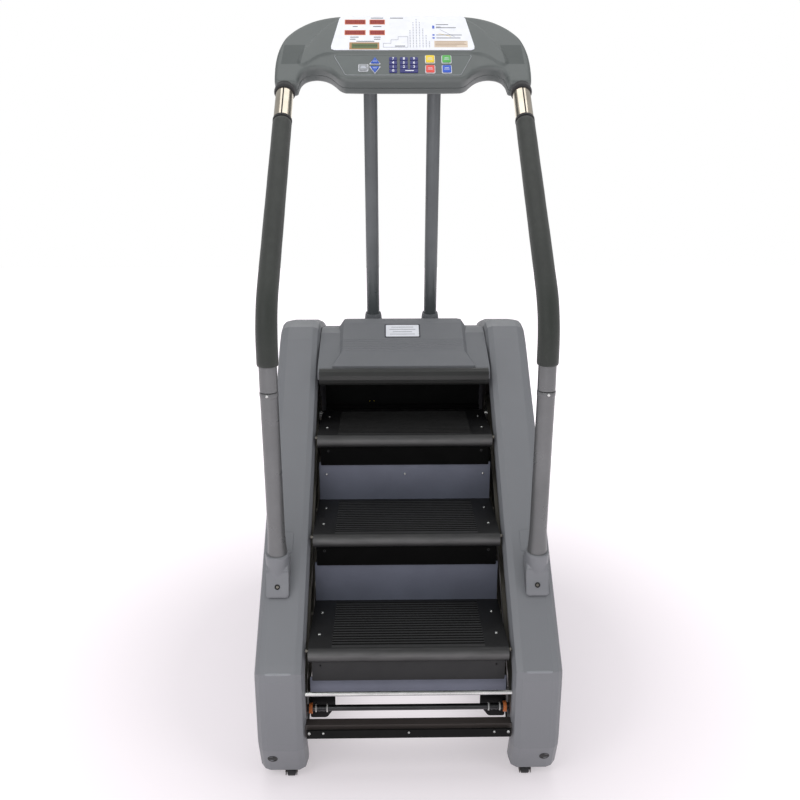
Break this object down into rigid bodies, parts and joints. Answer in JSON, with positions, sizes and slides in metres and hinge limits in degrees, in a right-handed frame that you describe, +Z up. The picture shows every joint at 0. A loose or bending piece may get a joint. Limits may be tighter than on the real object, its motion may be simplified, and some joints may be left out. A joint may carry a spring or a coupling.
{
  "type": "stair climber",
  "caption": "Revolving-step stair climber with enclosed side covers, ribbed treads, padded handrails and a sloping console on twin posts.",
  "frame": {"origin": "centre of the bounding box on the floor", "axes": "+Z up, the user faces +Y and steps on from the -Y end, X runs left to right across the machine"},
  "size_m": [0.77, 1.2, 1.9479],
  "materials": {
    "cover_grey": "fine-textured moulded plastic",
    "hood_grey": "fine-textured moulded plastic",
    "console_grey": "satin moulded plastic",
    "frame_black": "black powder coat",
    "strip_black": "black powder coat",
    "tube_grey": "satin grey powder coat",
    "tread_black": "black anodised and ribbed",
    "riser_grey": "blue-grey satin paint",
    "bright_steel": "turned",
    "chain_steel": "oiled",
    "sensor_chrome": "polished",
    "foam_black": "closed-cell foam skin",
    "rubber_black": "matt",
    "inlet_black": "matt",
    "bearing_orange": "satin",
    "panel_white": "printed film",
    "keypad_grey": "satin film",
    "pad_indigo": "satin film",
    "board_green": "circuit board",
    "brake_zinc": "cast",
    "key_grey": "satin",
    "key_arrow_blue": "satin",
    "key_yellow": "satin",
    "key_green": "satin",
    "key_red": "satin",
    "key_blue": "satin"
  },
  "bodies": {
    "base": {"base_frame": "frame_black", "top_hood": "hood_grey", "hood_nose_bar": "rubber_black", "rear_cover": "cover_grey", "power_inlet": "inlet_black", "lower_strip": "strip_black", "inner_shield": "strip_black", "guard_rod": "bright_steel", "left_side_cover": "cover_grey", "right_side_cover": "cover_grey", "left_side_plate": "frame_black", "right_side_plate": "frame_black", "left_chain": "chain_steel", "right_chain": "chain_steel", "left_bearing": "bearing_orange", "right_bearing": "bearing_orange", "left_post": "tube_grey", "right_post": "tube_grey", "left_upper_rail": "tube_grey", "right_upper_rail": "tube_grey", "left_lower_rail": "tube_grey", "right_lower_rail": "tube_grey", "left_foam_grip": "foam_black", "right_foam_grip": "foam_black", "left_pulse_sensor": "sensor_chrome", "right_pulse_sensor": "sensor_chrome", "left_rail_bracket": "cover_grey", "right_rail_bracket": "cover_grey", "left_rear_foot": "rubber_black", "right_rear_foot": "rubber_black", "brake_unit": "brake_zinc", "drive_belt": "rubber_black", "console_front": "console_grey", "console_back": "console_grey", "display_panel": "panel_white", "keypad_skin": "keypad_grey", "number_pad": "pad_indigo", "display_board": "board_green"},
    "stair": {"step_tread_1": "tread_black", "step_tread_2": "tread_black", "step_tread_3": "tread_black", "step_riser_1": "riser_grey", "step_riser_2": "riser_grey", "step_riser_3": "riser_grey"},
    "stair_return": {"return_step_1": "tread_black", "return_step_2": "tread_black", "return_step_3": "tread_black"},
    "lower_drive": {"lower_shaft": "bright_steel"},
    "upper_drive": {"upper_shaft": "bright_steel"},
    "brake_drive": {"brake_rotor": "bright_steel"},
    "wheel_left": {"left_wheel": "rubber_black"},
    "wheel_right": {"right_wheel": "rubber_black"},
    "key_select": {"key_select": "key_grey"},
    "key_up": {"key_up": "key_arrow_blue"},
    "key_down": {"key_down": "key_arrow_blue"},
    "key_yellow": {"key_yellow": "key_yellow"},
    "key_green": {"key_green": "key_green"},
    "key_red": {"key_red": "key_red"},
    "key_blue": {"key_blue": "key_blue"}
  },
  "joints": [
    {"name": "stair_travel", "type": "slide", "parent": "base", "child": "stair", "axis": [0, 0.7497, 0.6617], "range_m": [0, 0.1]},
    {"name": "return_travel", "type": "slide", "parent": "base", "child": "stair_return", "axis": [0, 0.7497, 0.6617], "range_m": [-0.1, 0]},
    {"name": "lower_shaft_turn", "type": "hinge", "parent": "base", "child": "lower_drive", "pos_m": [0, -0.49486, 0.16207], "axis": [1, 0, 0], "range_deg": [-105, 0]},
    {"name": "upper_shaft_turn", "type": "hinge", "parent": "base", "child": "upper_drive", "pos_m": [0, 0.18119, 0.75875], "axis": [1, 0, 0], "range_deg": [-105, 0]},
    {"name": "brake_turn", "type": "hinge", "parent": "base", "child": "brake_drive", "pos_m": [0.338, 0.37, 0.227], "axis": [1, 0, 0], "range_deg": [-290, 0]},
    {"name": "left_wheel_turn", "type": "hinge", "parent": "base", "child": "wheel_left", "pos_m": [-0.305, -0.55, 0.013], "axis": [1, 0, 0], "continuous": true},
    {"name": "right_wheel_turn", "type": "hinge", "parent": "base", "child": "wheel_right", "pos_m": [0.305, -0.55, 0.013], "axis": [1, 0, 0], "continuous": true},
    {"name": "key_select_press", "type": "slide", "parent": "base", "child": "key_select", "axis": [0, 0.766, -0.6428], "range_m": [0, 0.001], "stiffness_N_per_m": 400},
    {"name": "key_up_press", "type": "slide", "parent": "base", "child": "key_up", "axis": [0, 0.766, -0.6428], "range_m": [0, 0.001], "stiffness_N_per_m": 400},
    {"name": "key_down_press", "type": "slide", "parent": "base", "child": "key_down", "axis": [0, 0.766, -0.6428], "range_m": [0, 0.001], "stiffness_N_per_m": 400},
    {"name": "key_yellow_press", "type": "slide", "parent": "base", "child": "key_yellow", "axis": [0, 0.766, -0.6428], "range_m": [0, 0.001], "stiffness_N_per_m": 400},
    {"name": "key_green_press", "type": "slide", "parent": "base", "child": "key_green", "axis": [0, 0.766, -0.6428], "range_m": [0, 0.001], "stiffness_N_per_m": 400},
    {"name": "key_red_press", "type": "slide", "parent": "base", "child": "key_red", "axis": [0, 0.766, -0.6428], "range_m": [0, 0.001], "stiffness_N_per_m": 400},
    {"name": "key_blue_press", "type": "slide", "parent": "base", "child": "key_blue", "axis": [0, 0.766, -0.6428], "range_m": [0, 0.001], "stiffness_N_per_m": 400}
  ],
  "couplings": [
    {"joint": "return_travel", "follows": "stair_travel", "ratio": -1},
    {"joint": "lower_shaft_turn", "follows": "stair_travel", "rad_per_m": -18.182},
    {"joint": "upper_shaft_turn", "follows": "stair_travel", "rad_per_m": -18.182},
    {"joint": "brake_turn", "follows": "stair_travel", "rad_per_m": -49.142}
  ]
}
